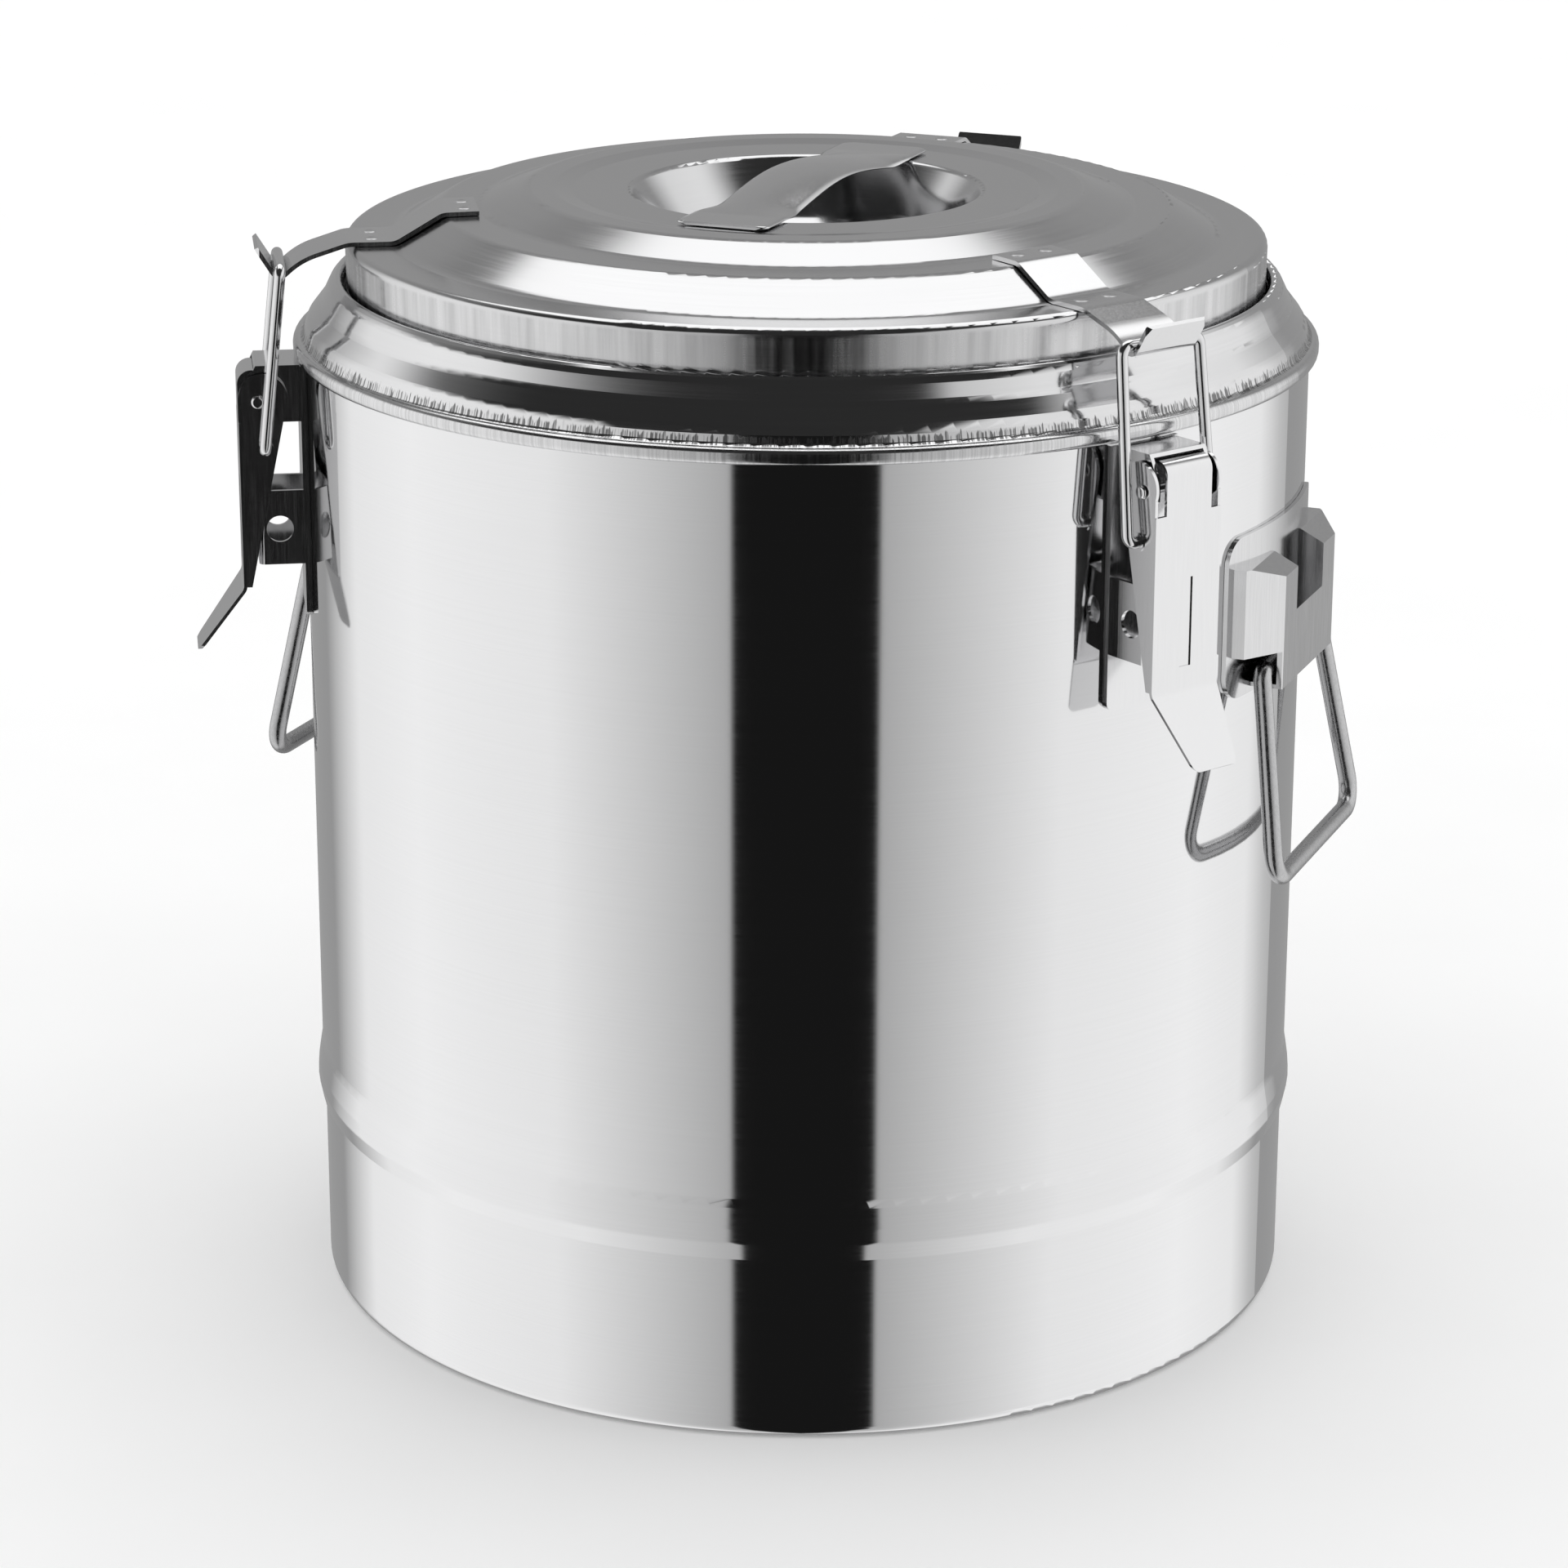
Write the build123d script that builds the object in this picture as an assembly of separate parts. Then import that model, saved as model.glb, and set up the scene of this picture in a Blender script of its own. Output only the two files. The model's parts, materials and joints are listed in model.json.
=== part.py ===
from build123d import *

import os
from math import cos, radians, sin

# An insulated transport can: a double-walled steel vessel with a clamped lid, three over-centre latches and two
# wire carry handles. Millimetres, +Z up. The origin is on the can's axis, in the plane it stands on, and the
# front is -Y. Hardware is drawn in a radial frame (X out from the axis, Y along the wall, Z up) and then turned
# to its place around the can.

# ---- driving dimensions ----

SHEET = 0.8  # spun body and lid sheet
PLATE = 1.5  # brackets, clips and the strap handle
WALL_R = 180.0  # outside of the straight shell
BAND_R = 179.3  # outside of the base band
BAND_TOP = 82.0  # top edge of the base pan, hidden behind the shell
PAN_BEND = 4.0
LIP_R = 180.6  # lower lip of the shell
LIP_Z = 67.5
SWAGE_R = 181.9  # crest of the swaged bead
SWAGE_Z = 75.0
SHELL_TOP = 351.0
SEAM_Z = 347.6  # underside of the rolled seam
SEAM_R = 183.3
MOUTH_Z = 379.2  # top of the neck
NECK_R = 159.8  # inside wall of the gutter round the mouth
VESSEL_R = 154.8  # outside of the inner vessel
VESSEL_FLOOR = 30.0
GAP = 0.4  # kept between the foam and the sheets round it

LID_SKIRT_R = 163.7
LID_SKIRT_Z = 370.7
LID_RING_Z = 388.6  # outer flat ring
LID_STEP_Z = 398.6  # middle flat ring
LID_CREST_Z = 404.4
BOWL_LIP_R = 63.4
BOWL_LIP_Z = 403.3
BOWL_FLOOR_Z = 377.0
PLUG_R = 150.0  # lid pan that sits down into the mouth
PLUG_Z = 354.0
GASKET_R = (156.0, 161.4)
GASKET_CLEARANCE = 0.4

STRAP_SPAN = 70.0  # half length of the lid handle to the middle of its feet
STRAP_TOP = 412.6
STRAP_RISE_TO_CORNER = 9.4  # drawn corner of the arch above its rounded top, less the foot's own height
STRAP_WIDTH = 30.0
STRAP_FOOT_WIDTH = 34.0
STRAP_FOOT = 9.0  # from the middle of a foot to its end
STRAP_BENDS = [22, 190, 22]
STRAP_LIP = 2.2  # how far its edges are rolled down

LATCH_ANGLES = (60.0, -60.0, 180.0)  # degrees from the front, towards +X
CLIP_WIDTH = 26.0
CLIP_IN = 117.5  # inner end, on the lid's middle ring
CLIP_OUT = 197.6  # tip of the hook
CLIP_CORNER = 3.0
PIN = (196.8, 334.6)  # radius from the can's axis, and height
PIN_R = 1.7
FACE_R = 203.8  # outside of the lever's face
LEVER_HALF = 14.5
LEVER_SHEET = 1.2
LEVER_TOP = 345.0
LEVER_BEND = 266.5  # height where the tail flares out
TAIL = (17.0, 23.5)  # tail: out, down
TAIL_HALF = 9.2
GROOVE_Z = (274.2, 304.8)  # shallow groove pressed in the face
GROOVE_HALF = 2.5
GROOVE_DEPTH = 0.5
TONGUE_HALF = 9.9
TONGUE_IN = 197.0  # inner end of the tongue over the top
TONGUE_Z = 327.0  # foot of the slots beside the tongue
HUB = (PIN[0] - 1.8, PIN[1] + 1.2)  # rounded head of the lever's side plates
HUB_R = 8.6
TAPER_FOOT = 2.4  # width of a side plate where it runs out
EYE = (194.9, 317.2)  # bail pivot
HOOK_BEND = 3.9  # outside bend of the clip's hook
BAR = (187.6, 381.95)  # bail crossbar, at the middle of that bend
BAIL_R = 2.0
BAIL_FOOT = 18.7  # half spread of the bail at its pivot
BAIL_TOP = 17.0  # half spread at the crossbar
RUNNING = 0.06  # radial clearance of pins and wire feet
BASE_HALF = 14.5
BASE_IN = 180.05
BASE_OUT = 181.8
BASE_BOTTOM = 255.5
BASE_TOP = 346.9
HOOD_HALF = 12.3  # outside of hood and guard bracket
HOOD_SHEET = 1.4
HOOD_ROOF = 1.2
HOOD_NOSE = 4.7  # how far the side walls reach past the pin
HOOD_TOP = 347.0
HOOD_BOTTOM = 326.6
GUARD_TOP = 301.6
GUARD_BOTTOM = 274.6
GUARD_R = 198.0
GUARD_HOLE = (190.3, 287.6)
GUARD_HOLE_R = 4.8

CARRY_ANGLES = (90.0, -90.0)
CARRY_PLATE = (245.5, 303.0)  # bottom and top
CARRY_HALF = 48.5
PRESSED_OUT = 190.2  # flat front of the form pressed out of the plate
PRESSED_FLAT = 30.5  # half width of that flat
PRESSED_SIDE = (180.3, 45.2)  # outer edge of a slanting ear: out from the axis, along the wall
PRESSED_Z = (247.5, 288.0)  # bottom, and top of the front
PRESSED_RIDGE = 292.5  # where the sloping top meets the plate
EAR_FOOT = 261.0  # bottom of the ears, where the wire legs come out
BAND_HALF = 31.0  # half length of the band between the legs
RECESS_HALF = 16.0  # recess between the ears
RECESS_Z = 272.5
LEG_T = 35.0  # where a wire leg leaves the band
WIRE_END = 8.0  # the ends of the wire stop this far from the middle, behind the band
CARRY_PIVOT = (184.0, 254.2)
CARRY_R = 3.25
CARRY_SPREAD = 49.0
CARRY_BOTTOM = 182.0
CARRY_LEAN = 9.0  # degrees


# ---- helpers ----

def save(node, shape):
    """Writes one node's STEP file."""
    shape.label = node
    export_step(shape, os.path.join("parts", node + ".step"))


def beside(points, radii, distance):
    """Corners and bend radii of a bent line moved to its left by a distance (to its right if negative)."""
    corners = [Vector(*p) for p in points]
    headings = [(b - a).normalized() for a, b in zip(corners, corners[1:])]
    normals = [Vector(-h.Y, h.X) for h in headings]
    moved = [corners[0] + normals[0] * distance]
    bends = []
    for i, radius in enumerate(radii):
        before, after = normals[i], normals[i + 1]
        moved.append(corners[i + 1] + (before + after) * (distance / (1 + before.dot(after))))
        left_turn = headings[i].cross(headings[i + 1]).Z > 0
        bends.append(radius - distance if left_turn else radius + distance)
    moved.append(corners[-1] + normals[-1] * distance)
    return moved, bends


def bent_sheet(points, radii, thickness):
    """Section of bent sheet whose one side is the bent line, with the metal to its left (right if negative)."""
    moved, bends = beside(points, radii, thickness)
    near = FilletPolyline(*points, radius=radii)
    far = FilletPolyline(*moved, radius=bends)
    ends = [Line(points[0], moved[0]), Line(points[-1], moved[-1])]
    return make_face(near.edges() + far.edges() + [line.edge() for line in ends])


def spin(section):
    """Solid of revolution from a section drawn as (radius, height)."""
    return revolve(Plane.XZ * section, Axis.Z)


def slab(section, near, far):
    """Solid from a section drawn as (radius, height), between two places along the wall."""
    # Plane.XZ looks along -Y, so the extrusion starts at the far side and comes back towards the near one
    return Pos(0, far, 0) * extrude(Plane.XZ * section, far - near)


def block(low, high):
    """Box between two corners."""
    size = [b - a for a, b in zip(low, high)]
    middle = [(a + b) / 2 for a, b in zip(low, high)]
    return Pos(*middle) * Box(*size)


def rod(radius, place, near, far):
    """Cylinder along the wall direction, at a place given as (radius, height)."""
    return Pos(place[0], (near + far) / 2, place[1]) * Rot(90, 0, 0) * Cylinder(radius, far - near)


def ring(inner, outer, low, high):
    """Plain ring round the can's axis."""
    return Pos(0, 0, low) * extrude(Circle(outer) - Circle(inner), high - low)


def around(angle, shape):
    """Turns a shape from the radial frame to its angle round the can."""
    return Rot(0, 0, angle - 90) * shape


# ---- vessel ----

def outer_shell():
    outline = [
        (LIP_R, LIP_Z), (SWAGE_R, SWAGE_Z - 1), (SWAGE_R - 0.4, SWAGE_Z + 4),
        (WALL_R, SWAGE_Z + 13), (WALL_R, SHELL_TOP),
    ]
    return spin(bent_sheet(outline, [3, 6, 20], SHEET))


def base_pan():
    outline = [(0, 0), (BAND_R, 0), (BAND_R, BAND_TOP)]
    return spin(bent_sheet(outline, [PAN_BEND], SHEET))


def shoulder_ring():
    outline = [
        (SEAM_R - 2.6, SEAM_Z), (SEAM_R, SEAM_Z), (SEAM_R, 352.9), (179.9, 353.6), (178.4, 358.6),
        (172.8, 365.7), (169.6, 372.4), (166.0, 375.6), (164.5, 369.6), (NECK_R, 369.6), (NECK_R, MOUTH_Z),
    ]
    return spin(bent_sheet(outline, [2.3, 2.4, 1.6, 9, 10, 6, 1.5, 1.2, 1.2], SHEET))


def inner_vessel():
    wall = bent_sheet([(0, VESSEL_FLOOR), (VESSEL_R, VESSEL_FLOOR), (VESSEL_R, MOUTH_Z)], [12], SHEET)
    rim_in = VESSEL_R - SHEET
    rim = Pos((rim_in + NECK_R) / 2, MOUTH_Z + SHEET / 2) * Rectangle(NECK_R - rim_in, SHEET)
    return spin(wall + rim)


def insulation():
    inner = VESSEL_R + GAP
    outer = BAND_R - SHEET - GAP
    floor = SHEET + GAP
    top = SEAM_Z - 1
    outside = Polyline(
        (0, floor), (outer - PAN_BEND, floor), (outer, floor + PAN_BEND), (outer, top), (inner, top),
        (inner, VESSEL_FLOOR - GAP), (0, VESSEL_FLOOR - GAP), close=True,
    )
    return spin(make_face(outside.edges()))


# ---- lid ----

LID_OUTLINE = [
    (LID_SKIRT_R, LID_SKIRT_Z), (LID_SKIRT_R + 0.3, LID_RING_Z), (147, LID_RING_Z), (130, LID_STEP_Z - 0.3),
    (115.5, LID_STEP_Z), (99.5, LID_CREST_Z), (90, LID_CREST_Z), (83, BOWL_LIP_Z), (BOWL_LIP_R - 1, BOWL_LIP_Z),
    (46, 380.5), (20, BOWL_FLOOR_Z), (0, BOWL_FLOOR_Z),
]
LID_BENDS = [3, 8, 5, 10, 9, 6, 6, 3, 16, 60]


def lid_outer():
    return spin(bent_sheet(LID_OUTLINE, LID_BENDS, SHEET))


def lid_inner():
    flange_z = LID_RING_Z - SHEET
    outline = [(LID_SKIRT_R - 3, flange_z), (PLUG_R, flange_z), (PLUG_R, PLUG_Z), (0, PLUG_Z)]
    return spin(bent_sheet(outline, [2, 8], SHEET))


def lid_insulation():
    moved, bends = beside(LID_OUTLINE[2:], LID_BENDS[2:], SHEET + GAP)
    ceiling = FilletPolyline(*moved, radius=bends)
    low = PLUG_Z + GAP + SHEET
    wall = PLUG_R - SHEET - GAP
    sides = Polyline(moved[0], (wall, moved[0].Y - 2), (wall, low + 9), (wall - 9, low), (0, low), moved[-1])
    return spin(make_face(ceiling.edges() + sides.edges()))


def lid_gasket():
    top = LID_RING_Z - 2 * SHEET
    bottom = MOUTH_Z + SHEET + GASKET_CLEARANCE
    width = GASKET_R[1] - GASKET_R[0]
    section = Pos(sum(GASKET_R) / 2, (top + bottom) / 2) * RectangleRounded(width, top - bottom, 1.2)
    return spin(section)


def lid_handle():
    """Strap over the bowl: an arch with rolled-down edges that widens into two flat feet."""
    foot_z = LID_CREST_Z - 0.9
    end = STRAP_SPAN + STRAP_FOOT
    heel = STRAP_SPAN - 7
    corner_z = 2 * STRAP_TOP - foot_z - STRAP_RISE_TO_CORNER
    outline = [(-end, foot_z), (-heel, foot_z), (0, corner_z), (heel, foot_z), (end, foot_z)]
    strip = bent_sheet(outline, STRAP_BENDS, PLATE)
    arch = Rot(0, 0, 90) * slab(strip, -STRAP_FOOT_WIDTH / 2, STRAP_FOOT_WIDTH / 2)
    waist = STRAP_SPAN - 12
    half = STRAP_WIDTH / 2
    foot = STRAP_FOOT_WIDTH / 2
    plan = FilletPolyline(
        (-foot, -end), (foot, -end), (foot, -waist - 6), (half, -waist + 14), (half, waist - 14),
        (foot, waist + 6), (foot, end), (-foot, end), (-foot, waist + 6), (-half, waist - 14),
        (-half, -waist + 14), (-foot, -waist - 6),
        close=True, radius=[3, 3, 14, 14, 14, 14, 3, 3, 14, 14, 14, 14],
    )
    blank = Pos(0, 0, foot_z - 5) * extrude(make_face(plan.edges()), 40)
    lower, bends = beside(outline, STRAP_BENDS, -STRAP_LIP)
    edge_section = bent_sheet(lower[1:-1], bends[1:-1], STRAP_LIP + PLATE / 2)
    lips = Rot(0, 0, 90) * (slab(edge_section, half - PLATE, half) + slab(edge_section, -half, -half + PLATE))
    span = block((-half, -waist + 16, foot_z - 5), (half, waist - 16, STRAP_TOP + 10))
    return arch & blank, lips & span


def lid_clip():
    """Bent strap from the lid's middle ring, over its edge and down to an upturned hook."""
    outline = [
        (CLIP_IN, 398.75), (130.1, 398.5), (146.9, 388.75), (163.5, 388.75), (179.8, 383.6),
        (188.5, 376.0), (196.2, 388.5),
    ]
    half = CLIP_WIDTH / 2
    strap = slab(bent_sheet(outline, [5, 9, 12, 26, HOOK_BEND], PLATE), -half, half)
    shoulder = CLIP_OUT - CLIP_CORNER
    plan = Polyline(
        (CLIP_IN - 5, -half), (shoulder, -half), (CLIP_OUT, CLIP_CORNER - half),
        (CLIP_OUT, half - CLIP_CORNER), (shoulder, half), (CLIP_IN - 5, half), close=True,
    )
    return strap & extrude(make_face(plan.edges()), 500)


# ---- latch ----

def latch_base():
    plate = block((BASE_IN - 2, -BASE_HALF, BASE_BOTTOM), (BASE_OUT, BASE_HALF, BASE_TOP))
    foot_edges = plate.edges().filter_by(Axis.X).sort_by(Axis.Z)[:2]
    return fillet(foot_edges, 3) - Cylinder(BASE_IN, 1000)


def latch_hood():
    """Fixed hood: a top plate and two side walls that hold the lever's pin."""
    front, back = PIN[0] + HOOD_NOSE, BASE_OUT
    side = Polyline(
        (back, HOOD_BOTTOM), (PIN[0] - 2, HOOD_BOTTOM), (front, PIN[1] - 3), (front, PIN[1] + 4),
        (PIN[0] + 0.5, HOOD_TOP), (back, HOOD_TOP), close=True,
    )
    outside = slab(make_face(side.edges()), -HOOD_HALF, HOOD_HALF)
    wall = HOOD_HALF - HOOD_SHEET
    inside = block((back - 1, -wall, HOOD_BOTTOM - 1), (front + 1, wall, HOOD_TOP - HOOD_ROOF))
    return outside - inside - rod(PIN_R, PIN, -HOOD_HALF - 1, HOOD_HALF + 1)


def latch_guard():
    """Fixed channel behind the lever, with a round hole through both sides."""
    outside = block((BASE_OUT, -HOOD_HALF, GUARD_BOTTOM), (GUARD_R, HOOD_HALF, GUARD_TOP))
    outside = fillet(outside.edges().filter_by(Axis.Z).sort_by(Axis.X)[2:], 2.4)
    wall = HOOD_HALF - HOOD_SHEET
    inside = block((BASE_OUT - 1, -wall, GUARD_BOTTOM - 1), (GUARD_R - HOOD_SHEET, wall, GUARD_TOP + 1))
    return outside - inside - rod(GUARD_HOLE_R, GUARD_HOLE, -HOOD_HALF - 1, HOOD_HALF + 1)


def lever_sides():
    """The lever's two side plates, a round hub that tapers down to the face."""
    front = FACE_R - LEVER_SHEET / 2
    hub = Pos(*HUB) * Circle(HUB_R)
    taper_foot = LEVER_BEND + 0.5
    taper = Polyline(
        (HUB[0] - HUB_R, PIN[1] + 0.5), (front - TAPER_FOOT, taper_foot), (front, taper_foot),
        (front, PIN[1] - 2), close=True,
    )
    profile = hub + make_face(taper.edges())
    eyelet = Pos(*EYE) * Circle(BAIL_R + 1.3)
    sides = []
    for way in (-1, 1):
        near, far = sorted((way * (LEVER_HALF - LEVER_SHEET), way * LEVER_HALF))
        collar_near, collar_far = sorted((way * (LEVER_HALF - 0.1), way * (LEVER_HALF + 0.4)))
        sides.append(slab(profile, near, far) + slab(eyelet, collar_near, collar_far))
    return sides


def lever_face():
    """Face, rounded tongue over the top and flared tail."""
    tail_foot = (FACE_R + TAIL[0], LEVER_BEND - TAIL[1])
    outline = [(TONGUE_IN, LEVER_TOP), (FACE_R, LEVER_TOP), (FACE_R, LEVER_BEND), tail_foot]
    strip = slab(bent_sheet(outline, [5, 4], -LEVER_SHEET), -LEVER_HALF, LEVER_HALF)
    top, foot = LEVER_TOP + 3, LEVER_BEND - TAIL[1] - 0.3
    waist = LEVER_BEND - 1
    front = FilletPolyline(
        (-LEVER_HALF, TONGUE_Z), (-LEVER_HALF, waist), (-TAIL_HALF, foot), (TAIL_HALF, foot),
        (LEVER_HALF, waist), (LEVER_HALF, TONGUE_Z), (TONGUE_HALF, TONGUE_Z), (TONGUE_HALF, top),
        (-TONGUE_HALF, top), (-TONGUE_HALF, TONGUE_Z), close=True,
        radius=[0.3, 3, 3.5, 3.5, 3, 0.3, 1.2, 1, 1, 1.2],
    )
    blank = extrude(Plane.YZ * make_face(front.edges()), 300)
    groove = block((FACE_R - GROOVE_DEPTH, -GROOVE_HALF, GROOVE_Z[0]), (FACE_R + 1, GROOVE_HALF, GROOVE_Z[1]))
    return (strip & blank) - groove


def latch_lever():
    lever = lever_face()
    for side in lever_sides():
        lever = lever + side
    slot_in = PIN[0] + HOOD_NOSE + 0.5
    for way in (-1, 1):
        near, far = sorted((way * (TONGUE_HALF - 0.01), way * (LEVER_HALF - LEVER_SHEET)))
        lever = lever - block((slot_in, near, TONGUE_Z), (FACE_R + 1, far, LEVER_TOP + 1))
    lever = lever - rod(PIN_R + RUNNING, PIN, -LEVER_HALF - 1, LEVER_HALF + 1)
    return lever - rod(BAIL_R + RUNNING, EYE, -LEVER_HALF - 1, LEVER_HALF + 1)


def latch_pin():
    """Pin with a low domed head outside each side of the lever."""
    shaft = rod(PIN_R, PIN, -LEVER_HALF - 0.4, LEVER_HALF + 0.4)
    heads = []
    for way in (-1, 1):
        near, far = sorted((way * (LEVER_HALF + 0.3), way * (LEVER_HALF + 1.4)))
        head = rod(PIN_R + 0.7, PIN, near, far)
        rim = head.edges().filter_by(GeomType.CIRCLE).sort_by(Axis.Y)[-1 if way > 0 else 0]
        heads.append(fillet(rim, 0.9))
    return shaft + heads[0] + heads[1]


def latch_bail():
    """Closed-top wire loop whose feet turn in the lever's sides."""
    def place(along, share):
        return (EYE[0] + (BAR[0] - EYE[0]) * share, along, EYE[1] + (BAR[1] - EYE[1]) * share)

    foot_end = LEVER_HALF - LEVER_SHEET - 0.4
    route = FilletPolyline(
        place(foot_end, 0), place(BAIL_FOOT, 0), place(BAIL_TOP, 1), place(-BAIL_TOP, 1), place(-BAIL_FOOT, 0),
        place(-foot_end, 0), radius=[3, 4, 4, 3],
    )
    return sweep(Plane(route @ 0, z_dir=route % 0) * Circle(BAIL_R), path=route)


# ---- carry handles ----

def pressed_form(inset):
    """The form on a bracket, or the hollow behind it when inset by the sheet's thickness."""
    inner = BASE_IN - 15
    low, eave = PRESSED_Z
    out = PRESSED_OUT - inset
    ridge = PRESSED_RIDGE - inset
    profile = Polyline(
        (inner, low + inset), (out, low + inset), (out, eave - inset), (BASE_IN + PLATE, ridge), (inner, ridge),
        close=True,
    )
    side, half = PRESSED_SIDE
    front = [
        (inner, -half), (side, -half), (PRESSED_OUT, -PRESSED_FLAT), (PRESSED_OUT, PRESSED_FLAT), (side, half),
        (inner, half),
    ]
    moved, _ = beside(front, [1, 1, 1, 1], inset)
    plan = Polyline(*moved, close=True)
    form = slab(make_face(profile.edges()), -half, half) & extrude(make_face(plan.edges()), 500)
    notch = RECESS_HALF + inset
    form = form - block((inner - 1, -notch, RECESS_Z - inset), (out + 1, notch, PRESSED_RIDGE + 1))
    for way in (-1, 1):
        near, far = sorted((way * BAND_HALF, way * (half + 1)))
        form = form - block((inner - 1, near, low - 1), (out + 1, far, EAR_FOOT))
    return form


def carry_bracket():
    """Plate curved to the wall, with two slanting ears and a band between them pressed out of it."""
    low, high = CARRY_PLATE
    outline = Pos(0, (low + high) / 2) * RectangleRounded(2 * CARRY_HALF, high - low, 9)
    plate = ring(BASE_IN, BASE_IN + PLATE, low, high) & extrude(Plane.YZ * outline, 250)
    return plate + (pressed_form(0) - Cylinder(BASE_IN, 1000)) - pressed_form(PLATE)


def carry_handle():
    """Wire loop whose two ends turn inwards behind the bracket's band."""
    lean = radians(CARRY_LEAN)

    def place(along, height):
        drop = CARRY_PIVOT[1] - height
        return (CARRY_PIVOT[0] + drop * sin(lean), along, CARRY_PIVOT[1] - drop * cos(lean))

    route = FilletPolyline(
        place(WIRE_END, CARRY_PIVOT[1]), place(LEG_T, CARRY_PIVOT[1]), place(CARRY_SPREAD, CARRY_BOTTOM),
        place(-CARRY_SPREAD, CARRY_BOTTOM), place(-LEG_T, CARRY_PIVOT[1]), place(-WIRE_END, CARRY_PIVOT[1]),
        radius=[4.2, 9, 9, 4.2],
    )
    return sweep(Plane(route @ 0, z_dir=route % 0) * Circle(CARRY_R), path=route)


# ---- write the nodes ----

os.makedirs("parts", exist_ok=True)

save("outer_shell", outer_shell())
save("base_pan", base_pan())
save("shoulder_ring", shoulder_ring())
save("inner_vessel", inner_vessel())
save("insulation", insulation())
save("lid_outer", lid_outer())
save("lid_inner", lid_inner())
save("lid_insulation", lid_insulation())
save("lid_gasket", lid_gasket())
strap, strap_lips = lid_handle()
save("lid_handle", strap + strap_lips)

for number, angle in enumerate(LATCH_ANGLES, start=1):
    save(f"lid_clip_{number}", around(angle, lid_clip()))
    save(f"latch_base_{number}", around(angle, latch_base()))
    save(f"latch_hood_{number}", around(angle, latch_hood()))
    save(f"latch_guard_{number}", around(angle, latch_guard()))
    save(f"latch_lever_{number}", around(angle, latch_lever()))
    save(f"latch_pin_{number}", around(angle, latch_pin()))
    save(f"latch_bail_{number}", around(angle, latch_bail()))

for side, angle in zip(("right", "left"), CARRY_ANGLES):
    save(f"carry_bracket_{side}", around(angle, carry_bracket()))
    save(f"carry_handle_{side}", around(angle, carry_handle()))
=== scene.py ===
import json
from math import cos, pi, radians, sin

import bpy
from mathutils import Matrix, Vector


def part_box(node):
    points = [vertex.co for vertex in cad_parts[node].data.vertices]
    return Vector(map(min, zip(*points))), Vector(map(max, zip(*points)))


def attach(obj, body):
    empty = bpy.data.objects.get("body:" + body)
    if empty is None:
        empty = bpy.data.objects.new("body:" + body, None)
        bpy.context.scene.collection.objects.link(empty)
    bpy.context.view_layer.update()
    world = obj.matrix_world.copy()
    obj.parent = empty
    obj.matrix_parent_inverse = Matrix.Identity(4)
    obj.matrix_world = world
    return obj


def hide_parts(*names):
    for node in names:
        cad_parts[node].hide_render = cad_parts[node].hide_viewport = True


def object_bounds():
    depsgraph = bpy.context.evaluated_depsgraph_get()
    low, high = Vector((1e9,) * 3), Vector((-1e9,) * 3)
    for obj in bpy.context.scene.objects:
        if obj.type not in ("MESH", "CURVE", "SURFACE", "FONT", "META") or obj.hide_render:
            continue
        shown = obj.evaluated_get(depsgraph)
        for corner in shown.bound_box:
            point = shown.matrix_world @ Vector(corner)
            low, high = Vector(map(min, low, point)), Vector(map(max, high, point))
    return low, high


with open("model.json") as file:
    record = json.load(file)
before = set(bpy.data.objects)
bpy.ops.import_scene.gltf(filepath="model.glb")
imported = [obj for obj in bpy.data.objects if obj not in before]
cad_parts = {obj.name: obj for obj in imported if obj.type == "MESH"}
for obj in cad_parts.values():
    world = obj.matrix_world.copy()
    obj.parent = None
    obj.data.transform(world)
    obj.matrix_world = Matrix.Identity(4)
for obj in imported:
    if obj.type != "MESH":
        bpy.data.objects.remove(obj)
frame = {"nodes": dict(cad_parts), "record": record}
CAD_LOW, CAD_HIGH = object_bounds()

# ---- camera ----
YAW = radians(22.0)  # the camera stands this far round to the right of the front
PITCH = radians(18.12)  # and looks down by this much
ROLL = 0.0022
CAMERA_PLACE = (0.6201, -1.5547, 0.7304)
LENS = 109.25
SENSOR = 36.0
SHIFT_Y = -0.0047
CLIP_END = 50

# ---- floor ----
FLOOR_RADIUS = 9.0
FLOOR_RINGS = 48
FLOOR_SIDES = 96
FLOOR_GAP = 0.0002  # the floor lies this far under the can
FLOOR_SHADE = (0.93, 0.95)

# ---- world, by direction: x is to the camera's right, y away from it, heights are in degrees ----
# degrees round from the camera, the same to the left and to the right, and brightness
SIDE_LEVELS = [(0, 0.01), (16, 0.01), (17, 0.5), (60, 1.0), (100, 1.1), (125, 1.0), (145, 0.35), (180, 0.35)]
BRIGHTEST = 2.0  # a colour ramp holds 0 to 1, so its levels are stored as a share of this
PANEL_TOP = (24.0, 36.0)  # the side panels fade out over these heights
RIGHT_PANEL = (0.35, 0.65)  # past this x the panel is taller
RIGHT_PANEL_TALLER = 18.0
BOX_SIDE = (0.50, 0.44)  # the box over the lid brightens between these x
BOX_FRONT = (0.0, 0.08)
BOX_FOOT = (38.0, 44.0)
BOX_LEVEL = 1.5
ROOM_DEPTH = (-0.1, 0.5)  # the ceiling brightens from behind the camera to behind the can
ROOM_LEVELS = (0.03, 0.26)
PLAIN_LEVEL = 1.08  # what the camera and matt surfaces see

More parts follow.
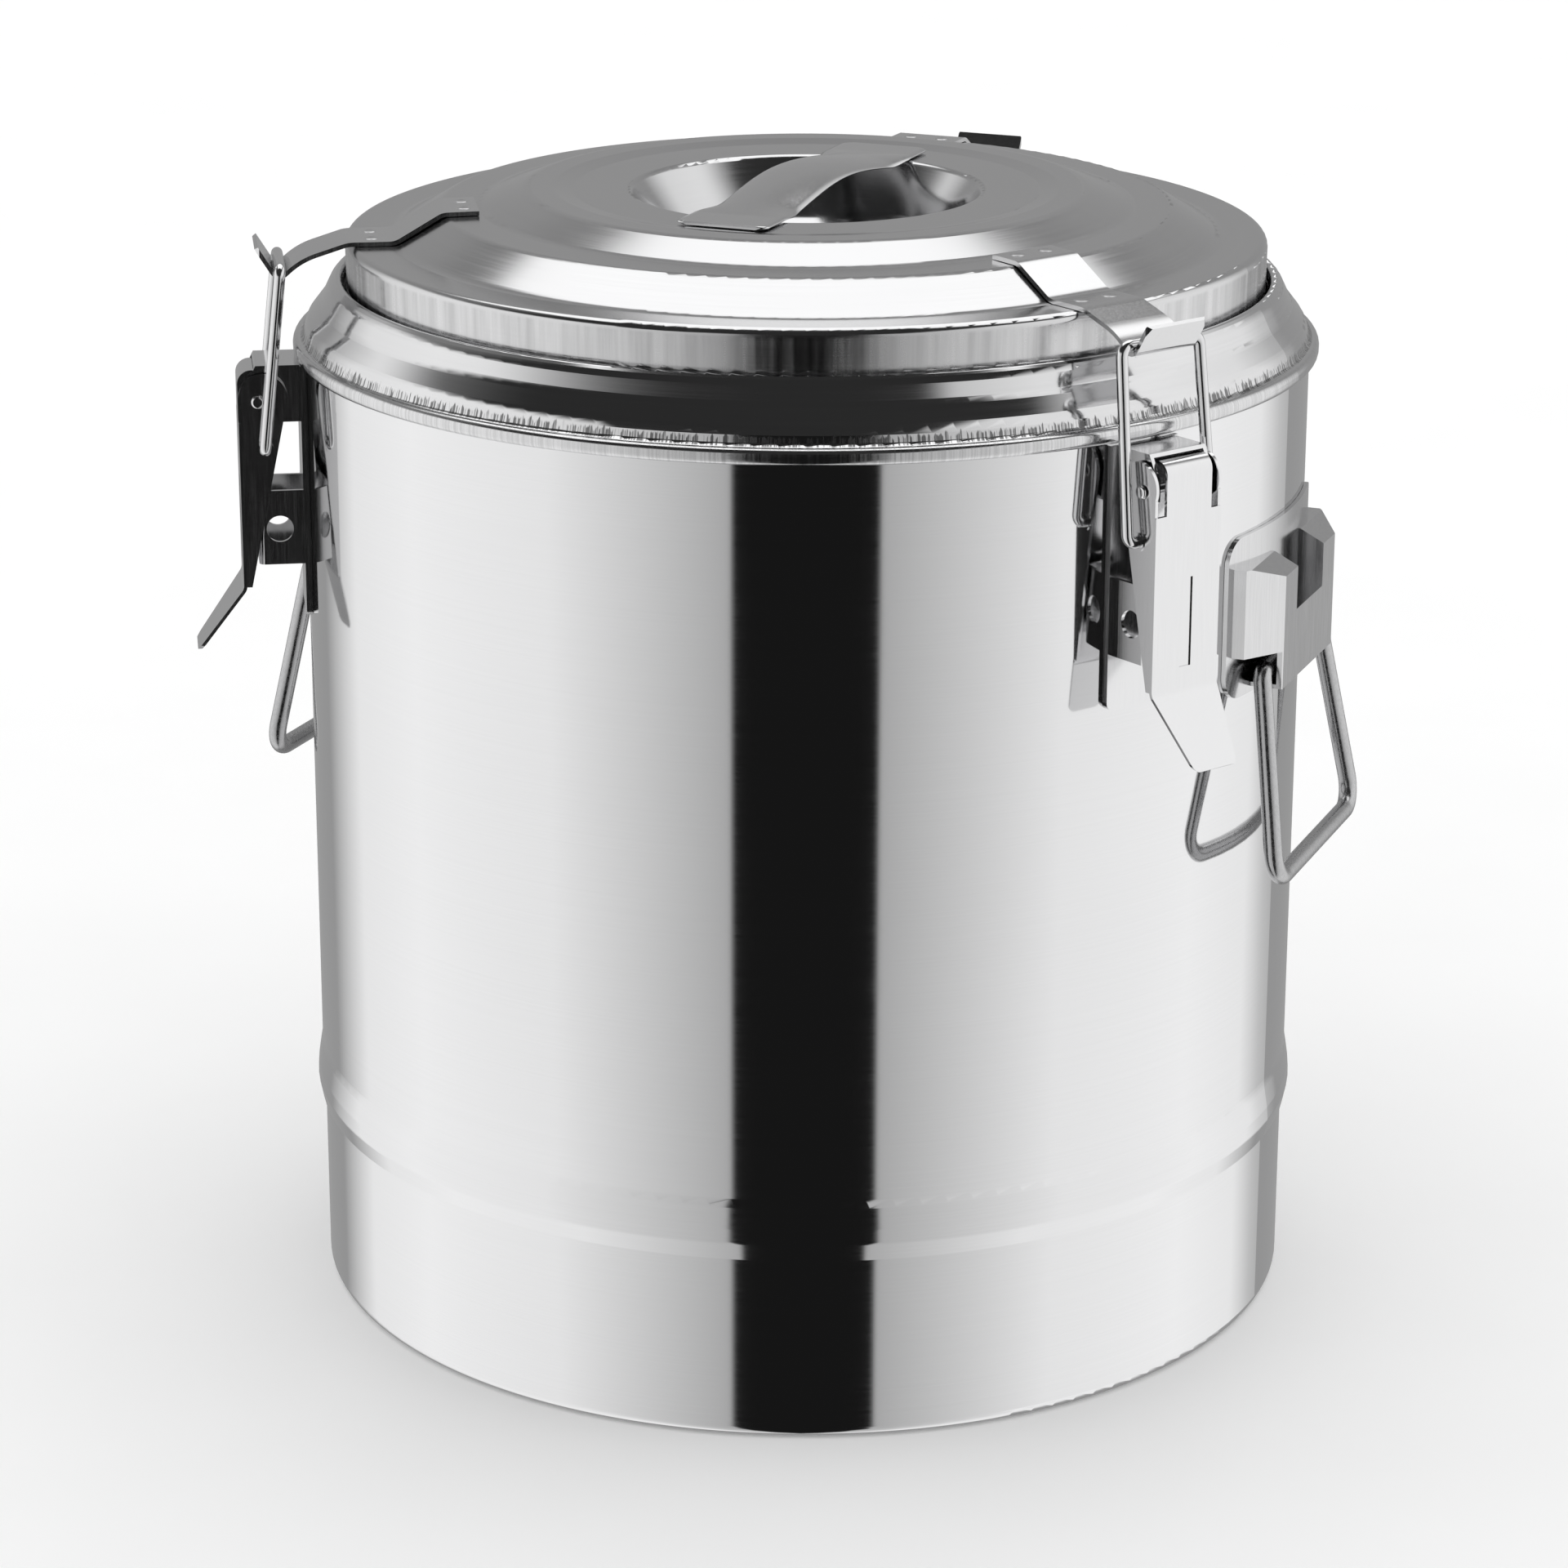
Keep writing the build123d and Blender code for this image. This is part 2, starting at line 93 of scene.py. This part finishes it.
# ---- materials ----
NOISE_RANGE = (0.3, 0.7)  # where most of a noise lies
ARC_RADIUS = 0.16  # turns into lengths round the can
SPUN_LINES = (2600.0, 9.0)  # noise scale across the lines and along them
DRAWN_LINES = (1800.0, 60.0)
PATCH_SCALE = 14.0
BLUE_CAST = 0.005  # steel is this much bluer than grey
BUMP_STRENGTH = 0.35

SEAM_TEETH = (1500.0, 30.0)  # noise scale round the seam and up it
SEAM_REACH_SCALE = 700.0
SEAM_REACH = (0.3552, 0.3580)  # the comb marks end between these heights
SEAM_FADE = 0.0006
BEAD_TOP = 0.3534  # bead below this height, valley above it
BEAD_BLUR = 0.0004
COMB_DARK, COMB_ROUGH = 0.72, 0.2
BEAD_DARK, BEAD_ROUGH = 0.16, 0.12

SKIRT_STREAKS = (260.0, 12.0)  # noise scale round the lid's skirt and up it
SKIRT_TOP = (0.3865, 0.3855)
SKIRT_FACE = (0.1622, 0.1626)  # the skirt lies outside this radius
SKIRT_SHADE = (-0.22, 0.12)
SKIRT_ROUGH = 0.14

# level is how light the steel is; lines is left out where they run round the can's axis
STEELS = {
    "polished_steel": dict(level=0.76, rough=0.06, mottle=0.012, spread=0.3),
    "spun_steel": dict(level=0.70, rough=0.10, mottle=0.02, marks="seam"),
    "lid_steel": dict(level=0.64, rough=0.15, anisotropy=0.3, mottle=0.02, spread=0.22, marks="skirt"),
    "vessel_steel": dict(level=0.70, rough=0.26, anisotropy=0.4),
    "strap_steel": dict(level=0.70, rough=0.17, lines=DRAWN_LINES, mottle=0.03),
    "latch_steel": dict(level=0.77, rough=0.14, lines=DRAWN_LINES, mottle=0.02),
    "wire_steel": dict(level=0.72, rough=0.12, lines=(2400.0, 90.0)),
    "bracket_steel": dict(level=0.68, rough=0.16, lines=(1500.0, 50.0), mottle=0.05),
    "handle_wire": dict(level=0.50, rough=0.25, lines=(1400.0, 700.0), mottle=0.12, bump=0.00005),
}

# ---- strap handle ----
STRAP_LOW, STRAP_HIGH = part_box("lid_handle")
STRAP_HALF_LENGTH = STRAP_HIGH.y
STRAP_HALF_WIDTH = STRAP_HIGH.x
STRAP_FOOT_LENGTH = 0.016
STRAP_HEEL = STRAP_HALF_LENGTH - STRAP_FOOT_LENGTH  # where a foot turns up into the arch
STRAP_ROUND = 0.55  # how much of the arch is a parabola, the rest being a smooth step
STRAP_WAIST = 0.0022  # the middle is this much narrower on each side
WAIST_FADE = (STRAP_HEEL - 0.022, STRAP_HEEL - 0.002)
STRAP_CROWN = 0.0034
CROWN_FADE = (STRAP_HEEL - 0.018, STRAP_HEEL + 0.001)
CROWN_FLAT = 0.6  # lower values drop later towards the edges
STRAP_THICK = 0.0013
EDGE_START = 0.93  # share of the half width where the edge begins to round off
EDGE_ROUND = 0.35  # share of the thickness taken off each face at the edge
FOOT_TOP = 0.4050
FOOT_CORNER = 0.003
STATIONS = 120
ACROSS = 22

# ---- weld marks on the lid's clips ----
WELD_RINGS = [(0.0008, 0.00005), (0.0014, 0.00012), (0.0019, 0.00024), (0.0024, 0.00012), (0.0027, -0.0003)]
WELD_MIDDLE = 0.00004
WELD_SIDES = 28
WELD_ROWS = [(0.1225, 0.40015), (0.1552, 0.39025)]  # distance from the can's axis and height
WELD_APART = 0.0062  # each way from the clip's middle
CLIP_TURNS = [(1, 60.0), (2, -60.0), (3, 180.0)]  # latch number and degrees round from the front


class Nodes:
    """Short names for building a node tree."""

    def __init__(self, tree):
        self.tree = tree
        tree.nodes.clear()

    def add(self, kind, inputs=None, **settings):
        node = self.tree.nodes.new(kind)
        for name, value in settings.items():
            setattr(node, name, value)
        for name, value in (inputs or {}).items():
            socket = node.inputs[name]
            if isinstance(value, bpy.types.NodeSocket):
                self.tree.links.new(value, socket)
            else:
                socket.default_value = value
        return node

    def math(self, operation, a, b=0.0, clamp=False):
        node = self.add("ShaderNodeMath", {0: a, 1: b}, operation=operation, use_clamp=clamp)
        return node.outputs[0]

    def times(self, a, b, clamp=False):
        return self.math("MULTIPLY", a, b, clamp)

    def span(self, value, low, high, to_low=0.0, to_high=1.0, smooth=False):
        inputs = {"Value": value, "From Min": low, "From Max": high, "To Min": to_low, "To Max": to_high}
        kind = "SMOOTHSTEP" if smooth else "LINEAR"
        return self.add("ShaderNodeMapRange", inputs, interpolation_type=kind).outputs["Result"]

    def fade(self, value, low, high):
        return self.span(value, low, high, smooth=True)

    def mix(self, factor, a, b):
        """Plain numbers or sockets mixed by a factor."""
        node = self.add("ShaderNodeMix", {0: factor, 2: a, 3: b}, data_type="FLOAT")
        return node.outputs[0]

    def noise(self, vector, scale, detail=2.0, roughness=0.5):
        inputs = {"Vector": vector, "Scale": scale, "Detail": detail, "Roughness": roughness}
        return self.add("ShaderNodeTexNoise", inputs).outputs["Fac"]

    def noise_span(self, noise, to_low, to_high):
        """A noise mapped from its usual range onto another."""
        return self.span(noise, *NOISE_RANGE, to_low, to_high)

    def vector(self, x, y, z):
        return self.add("ShaderNodeCombineXYZ", {0: x, 1: y, 2: z}).outputs[0]

    def split(self, vector):
        return self.add("ShaderNodeSeparateXYZ", {0: vector}).outputs

    def color(self, shades):
        return self.add("ShaderNodeCombineColor", dict(enumerate(shades))).outputs[0]

    def place(self):
        return self.add("ShaderNodeTexCoord").outputs["Object"]


# ---- world: side panels with a dark gap at the camera, a grey wall behind and a box over the lid ----

def side_brightness(n, x, y):
    azimuth = n.math("DEGREES", n.math("ARCTAN2", n.math("ABSOLUTE", x), n.times(y, -1.0)))
    ramp = n.add("ShaderNodeValToRGB", {"Fac": n.math("DIVIDE", azimuth, 180.0)})
    elements = ramp.color_ramp.elements
    while len(elements) > 1:
        elements.remove(elements[-1])
    for i, (degrees, level) in enumerate(SIDE_LEVELS):
        element = elements[0] if i == 0 else elements.new(degrees / 180)
        element.position = degrees / 180
        share = level / BRIGHTEST
        element.color = (share, share, share, 1)
    return n.times(ramp.outputs["Color"], BRIGHTEST)


def ceiling_brightness(n, x, y, height):
    wide = n.fade(n.math("ABSOLUTE", x), *BOX_SIDE)
    deep = n.fade(y, *BOX_FRONT)
    box = n.times(n.times(wide, deep), n.fade(height, *BOX_FOOT))
    room = n.span(y, *ROOM_DEPTH, *ROOM_LEVELS, smooth=True)
    return n.mix(box, room, BOX_LEVEL)


def build_world():
    world = bpy.data.worlds.new("studio")
    bpy.context.scene.world = world
    world.use_nodes = True
    n = Nodes(world.node_tree)
    turn = {"Vector": n.add("ShaderNodeTexCoord").outputs["Generated"], "Angle": -YAW}
    x, y, z = n.split(n.add("ShaderNodeVectorRotate", turn, rotation_type="Z_AXIS").outputs[0])
    height = n.math("DEGREES", n.math("ARCSINE", z))
    taller = n.span(x, *RIGHT_PANEL, 0.0, RIGHT_PANEL_TALLER, smooth=True)
    above = n.fade(n.math("SUBTRACT", height, taller), *PANEL_TOP)
    level = n.mix(above, side_brightness(n, x, y), ceiling_brightness(n, x, y, height))
    lit = n.add("ShaderNodeBackground", {"Color": level, "Strength": 1.0})
    seen = n.add("ShaderNodeBackground", {"Color": (1, 1, 1, 1), "Strength": PLAIN_LEVEL})
    path = n.add("ShaderNodeLightPath").outputs
    plain = n.math("MAXIMUM", path["Is Camera Ray"], path["Is Diffuse Ray"])
    both = n.add("ShaderNodeMixShader", {0: plain, 1: lit.outputs[0], 2: seen.outputs[0]})
    n.add("ShaderNodeOutputWorld", {"Surface": both.outputs[0]})


# ---- materials ----

def new_material(name):
    material = bpy.data.materials.new(name)
    material.use_nodes = True
    return material, Nodes(material.node_tree)


def finish_material(n, inputs):
    shader = n.add("ShaderNodeBsdfPrincipled", inputs)
    n.add("ShaderNodeOutputMaterial", {"Surface": shader.outputs[0]})


def around_axis(n, place):
    """Distance from the can's axis, length round it, and height."""
    x, y, z = n.split(place)
    radius = n.math("SQRT", n.math("ADD", n.times(x, x), n.times(y, y)))
    return radius, n.times(n.math("ARCTAN2", y, x), ARC_RADIUS), z


def seam_marks(n, radius, arc, z):
    """Dark comb marks in the valley above the seam bead, and fine lines across the bead."""
    teeth = n.noise(n.vector(n.times(arc, SEAM_TEETH[0]), n.times(z, SEAM_TEETH[1]), 0.0), 1.0, detail=3.0)
    ends = n.noise(n.vector(n.times(arc, SEAM_REACH_SCALE), 0.0, 3.0), 1.0)
    below_ends = n.span(n.math("SUBTRACT", n.noise_span(ends, *SEAM_REACH), z), 0.0, SEAM_FADE)
    valley = n.times(n.span(z, BEAD_TOP, BEAD_TOP + BEAD_BLUR), below_ends)
    comb = n.times(valley, n.span(teeth, 0.44, 0.56))
    bead = n.times(n.span(z, BEAD_TOP, BEAD_TOP - BEAD_BLUR), n.span(teeth, 0.35, 0.65))
    kept = n.math("SUBTRACT", 1.0, n.times(comb, COMB_DARK))
    shade = n.math("SUBTRACT", kept, n.times(bead, BEAD_DARK))
    return shade, n.math("ADD", n.times(comb, COMB_ROUGH), n.times(bead, BEAD_ROUGH))


def skirt_marks(n, radius, arc, z):
    """Upright streaks on the lid's skirt."""
    streaks = n.vector(n.times(arc, SKIRT_STREAKS[0]), n.times(z, SKIRT_STREAKS[1]), 0.0)
    broad = n.noise(streaks, 1.0, detail=4.0)
    skirt = n.times(n.span(z, *SKIRT_TOP), n.span(radius, *SKIRT_FACE))
    shade = n.math("ADD", 1.0, n.times(skirt, n.noise_span(broad, *SKIRT_SHADE)))
    return shade, n.times(skirt, n.noise_span(broad, 0.0, SKIRT_ROUGH))


MARKS = {"seam": seam_marks, "skirt": skirt_marks}


def line_space(n, place, lines):
    """A space stretched along the steel's lines, upright or, with no lines given, round the can's axis."""
    fine, coarse = lines or SPUN_LINES
    if lines:
        x, y, z = n.split(place)
        return n.vector(n.times(x, fine), n.times(y, fine), n.times(z, coarse))
    radius, arc, z = around_axis(n, place)
    across = n.math("ADD", radius, z)
    return n.vector(n.times(across, fine), n.times(arc, coarse), n.times(radius, coarse))


def steel(name, level, rough, lines=None, anisotropy=0.0, mottle=0.04, bump=0.0, spread=0.35, marks=None):
    """Steel with drawn or spun lines, slow patches and, where named, its own marks."""
    material, n = new_material(name)
    place = n.place()
    grain = n.noise(line_space(n, place, lines), 1.0, detail=4.0, roughness=0.6)
    patches = n.noise(place, PATCH_SCALE, detail=3.0)
    fine_tint = n.noise_span(grain, 1 - mottle, 1 + mottle)
    tint = n.math("ADD", fine_tint, n.noise_span(patches, -mottle / 2, mottle / 2))
    broad = n.noise_span(patches, rough * 0.9, rough * 1.1)
    roughness = n.times(n.span(grain, 0.25, 0.75, 1 - spread, 1 + spread), broad)
    if marks:
        shade, extra = MARKS[marks](n, *around_axis(n, place))
        tint = n.times(tint, shade)
        roughness = n.math("ADD", roughness, extra)
    shades = [n.times(tint, share, clamp=True) for share in (level, level, level + BLUE_CAST)]
    inputs = {"Base Color": n.color(shades), "Metallic": 1.0, "Roughness": roughness}
    inputs["Anisotropic"] = anisotropy
    if anisotropy:
        inputs["Tangent"] = n.add("ShaderNodeTangent", direction_type="RADIAL", axis="Z").outputs[0]
    if bump:
        relief = {"Strength": BUMP_STRENGTH, "Distance": bump, "Height": grain}
        inputs["Normal"] = n.add("ShaderNodeBump", relief).outputs[0]
    finish_material(n, inputs)
    return material


def dull(name, color, rough, scale, contrast):
    """Moulded or foamed matter with a fine mottle."""
    material, n = new_material(name)
    grain = n.noise(n.place(), scale, detail=4.0)
    shade = n.noise_span(grain, 1 - contrast, 1 + contrast)
    shades = [n.times(shade, share, clamp=True) for share in color]
    bump = n.add("ShaderNodeBump", {"Strength": 0.2, "Distance": 0.0005, "Height": grain}).outputs[0]
    finish_material(n, {"Base Color": n.color(shades), "Roughness": rough, "Normal": bump})
    return material


def build_materials():
    made = {name: steel(name, **look) for name, look in STEELS.items()}
    made["foam"] = dull("foam", (0.83, 0.78, 0.58), 0.8, 420.0, 0.12)
    made["gasket"] = dull("gasket", (0.84, 0.84, 0.82), 0.5, 160.0, 0.05)
    return made


def paint_frame(materials):
    """Every CAD node takes the material of its record's slot."""
    for part in frame["record"]["subparts"]:
        node = frame["nodes"][part["node"]]
        node.data.materials.clear()
        node.data.materials.append(materials[part["material_slot"]])


# ---- meshes ----

def add_mesh(name, points, faces, smooth):
    """An object from points and faces. smooth holds one value for each face."""
    mesh = bpy.data.meshes.new(name)
    mesh.from_pydata(points, [], faces)
    mesh.polygons.foreach_set("use_smooth", smooth)
    mesh.update()
    made = bpy.data.objects.new(name, mesh)
    bpy.context.scene.collection.objects.link(made)
    return made


def fan_faces(rings, sides):
    """Faces of a round sheet: triangles round point 0, then quads between rings."""
    faces = [(0, 1 + k, 1 + (k + 1) % sides) for k in range(sides)]
    for ring in range(rings - 1):
        inner = 1 + ring * sides
        outer = inner + sides
        for k in range(sides):
            after = (k + 1) % sides
            faces.append((inner + k, outer + k, outer + after, inner + after))
    return faces


def loft(name, loops):
    """Skin over equal closed loops, with a flat cap at each end."""
    size = len(loops[0])
    points = [p for loop in loops for p in loop]
    faces = [tuple(range(size))[::-1], tuple(range(len(points) - size, len(points)))]
    for i in range(len(loops) - 1):
        near, far = i * size, (i + 1) * size
        for k in range(size):
            after = (k + 1) % size
            faces.append((near + k, near + after, far + after, far + k))
    return add_mesh(name, points, faces, [False, False] + [True] * (len(faces) - 2))


# ---- the strap handle, crowned across its width, and the weld marks ----

def smooth_step(value, low, high):
    t = min(1.0, max(0.0, (value - low) / (high - low)))
    return t * t * (3 - 2 * t)


def strap_half_width(off):
    """Half the width at a distance from the middle: waisted, with rounded corners at the feet."""
    half = STRAP_HALF_WIDTH - STRAP_WAIST * (1 - smooth_step(off, *WAIST_FADE))
    to_end = off - (STRAP_HALF_LENGTH - FOOT_CORNER)
    if to_end > 0:
        half += (FOOT_CORNER**2 - min(to_end, FOOT_CORNER) ** 2) ** 0.5 - FOOT_CORNER
    return half


def strap_section(y):
    """Closed loop of the strap's section at a place along it."""
    off = abs(y)
    rise = 1 - smooth_step(off, 0.0, STRAP_HEEL)
    parabola = max(0.0, 1 - (off / STRAP_HEEL) ** 2)
    arch = rise * (1 - STRAP_ROUND) + parabola * STRAP_ROUND
    top = FOOT_TOP + (STRAP_HIGH.z - FOOT_TOP) * arch
    half = strap_half_width(off)
    crown = STRAP_CROWN * (1 - smooth_step(off, *CROWN_FADE))
    upper, lower = [], []
    for k in range(ACROSS + 1):
        v = -1 + 2 * k / ACROSS
        drop = crown * v * v * (CROWN_FLAT + (1 - CROWN_FLAT) * v * v)
        edge = STRAP_THICK * EDGE_ROUND * smooth_step(abs(v), EDGE_START, 1.0)
        upper.append((half * v, y, top - drop - edge))
        lower.append((half * v, y, top - drop - STRAP_THICK + edge))
    return upper + lower[::-1]


def build_strap(material):
    places = [-STRAP_HALF_LENGTH * cos(pi * i / STATIONS) for i in range(STATIONS + 1)]
    strap = loft("lid_strap", [strap_section(y) for y in places])
    strap.data.materials.append(material)
    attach(strap, "lid")
    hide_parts("lid_handle")


def weld_mark(name, centre, out, across, material):
    """A shallow round mark: a raised rim round a dished middle, with its foot sunk into the clip."""
    points = [centre + Vector((0, 0, WELD_MIDDLE))]
    for radius, height in WELD_RINGS:
        for k in range(WELD_SIDES):
            turn = 2 * pi * k / WELD_SIDES
            flat = out * radius * cos(turn) + across * radius * sin(turn)
            points.append(centre + flat + Vector((0, 0, height)))
    faces = fan_faces(len(WELD_RINGS), WELD_SIDES)
    faces.append(tuple(range(len(points) - WELD_SIDES, len(points)))[::-1])
    mark = add_mesh(name, points, faces, [True] * len(faces))
    mark.data.materials.append(material)
    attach(mark, "lid")


def build_welds(material):
    """Two marks where each clip lies on the lid's middle ring, two on its outer ring."""
    for number, degrees in CLIP_TURNS:
        out = Vector((sin(radians(degrees)), -cos(radians(degrees)), 0))
        across = Vector((-out.y, out.x, 0))
        for row, (radius, height) in enumerate(WELD_ROWS):
            for side, way in (("a", -1), ("b", 1)):
                centre = out * radius + across * (WELD_APART * way) + Vector((0, 0, height))
                weld_mark(f"weld_{number}_{row}_{side}", centre, out, across, material)


# ---- floor and camera ----

def build_floor():
    """A fan of rings, finer near the can."""
    points = [(0.0, 0.0, 0.0)]
    for i in range(1, FLOOR_RINGS + 1):
        radius = FLOOR_RADIUS * (i / FLOOR_RINGS) ** 2
        turns = [2 * pi * k / FLOOR_SIDES for k in range(FLOOR_SIDES)]
        points += [(radius * cos(turn), radius * sin(turn), 0.0) for turn in turns]
    faces = fan_faces(FLOOR_RINGS, FLOOR_SIDES)
    floor = add_mesh("floor", points, faces, [False] * len(faces))
    floor.location.z = CAD_LOW.z - FLOOR_GAP
    material, n = new_material("floor_white")
    shade = n.noise_span(n.noise(n.place(), 6.0, detail=3.0), *FLOOR_SHADE)
    finish_material(n, {"Base Color": n.color([shade] * 3), "Roughness": 0.9, "Specular IOR Level": 0.0})
    floor.data.materials.append(material)
    floor.visible_glossy = False  # so the can's wall mirrors the painted studio and not the floor


def build_camera():
    data = bpy.data.cameras.new("camera")
    data.lens = LENS
    data.sensor_width = SENSOR
    data.shift_y = SHIFT_Y
    data.clip_end = CLIP_END
    camera = bpy.data.objects.new("camera", data)
    bpy.context.scene.collection.objects.link(camera)
    look = Matrix.Rotation(YAW, 4, "Z") @ Matrix.Rotation(pi / 2 - PITCH, 4, "X")
    camera.matrix_world = Matrix.Translation(CAMERA_PLACE) @ look @ Matrix.Rotation(ROLL, 4, "Z")
    bpy.context.scene.camera = camera


build_world()
build_floor()
MATERIALS = build_materials()
paint_frame(MATERIALS)
build_strap(MATERIALS["strap_steel"])
build_welds(MATERIALS["strap_steel"])
build_camera()

bpy.context.scene.view_settings.view_transform = "Standard"
bpy.context.scene.view_settings.look = "None"
